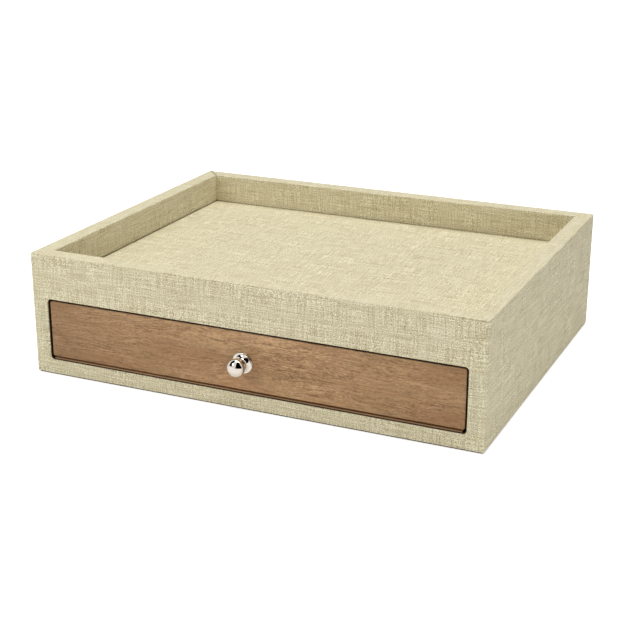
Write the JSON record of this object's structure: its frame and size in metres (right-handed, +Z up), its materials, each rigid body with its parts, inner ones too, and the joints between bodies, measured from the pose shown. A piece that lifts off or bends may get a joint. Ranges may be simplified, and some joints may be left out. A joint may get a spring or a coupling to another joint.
{
  "type": "desktop drawer tray",
  "caption": "Linen-wrapped desktop box with an open tray on top and a full-width wood-faced drawer with a ball knob.",
  "frame": {"origin": "centre of the felt pad's underside, which the box stands on", "axes": "+X to the right seen from the front, +Y to the back, +Z up; the drawer opens towards -Y"},
  "size_m": [0.33, 0.2755, 0.088],
  "materials": {
    "fibreboard": "raw fibreboard, stained brown where it shows",
    "linen": "natural linen, paper-backed and glued down",
    "card": "grey board",
    "felt": "pressed felt",
    "stained_wood": "thin wood stained dark brown",
    "walnut": "satin walnut veneer, grain along the width",
    "drawer_wood": "smooth light wood",
    "hardboard": "thin hardboard",
    "steel": "zinc-plated",
    "nickel": "polished nickel plate"
  },
  "bodies": {
    "carcass": {"front_frame": "fibreboard", "back_panel": "fibreboard", "left_side_panel": "fibreboard", "right_side_panel": "fibreboard", "corner_splines": "fibreboard", "deck_board": "fibreboard", "tray_floor_pad": "linen", "base_board": "fibreboard", "base_infill_card": "card", "base_felt": "felt", "linen_wrap": "linen", "opening_lining": "stained_wood", "compartment_floor_lining": "drawer_wood", "rear_stops": "fibreboard"},
    "drawer": {"drawer_front_board": "fibreboard", "drawer_front_veneer": "walnut", "drawer_inner_front": "drawer_wood", "drawer_left_side": "drawer_wood", "drawer_right_side": "drawer_wood", "drawer_back": "drawer_wood", "drawer_bottom": "hardboard", "drawer_lining": "felt", "drawer_glides": "felt", "drawer_corner_pins": "steel", "front_fixing_screws": "steel", "knob": "nickel", "knob_screw": "steel", "knob_washer": "steel"}
  },
  "joints": [
    {"name": "drawer_slide", "type": "slide", "parent": "carcass", "child": "drawer", "axis": [0, -1, 0], "range_m": [0, 0.19]}
  ]
}
